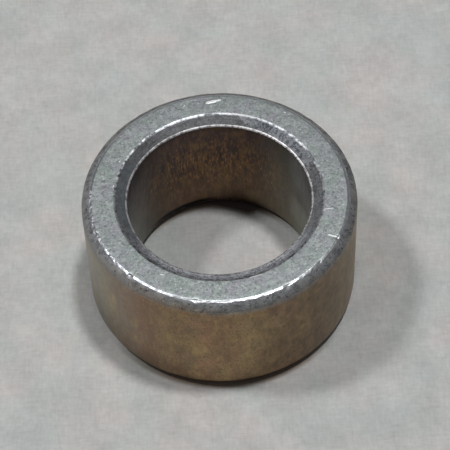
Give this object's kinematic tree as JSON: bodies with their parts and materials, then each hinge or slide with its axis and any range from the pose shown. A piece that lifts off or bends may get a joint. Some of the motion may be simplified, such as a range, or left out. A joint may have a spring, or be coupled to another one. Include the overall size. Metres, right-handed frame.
{
  "type": "sleeve bushing",
  "caption": "Plain cylindrical bronze sleeve bushing with a through bore, chamfered on the outer and inner edge of both end faces.",
  "frame": {"origin": "centre of the bore, in the plane of the lower end face", "axes": "+Z along the bore axis towards the upper end face; the ring looks the same all round, so X and Y are any two directions across it"},
  "size_m": [0.019, 0.019, 0.0095],
  "materials": {
    "bronze": "satin bronze, dull silver-grey on the end faces, mottled gold-brown on the outer wall and dark brown in the bore"
  },
  "bodies": {
    "root": {"sleeve": "bronze"}
  },
  "joints": []
}
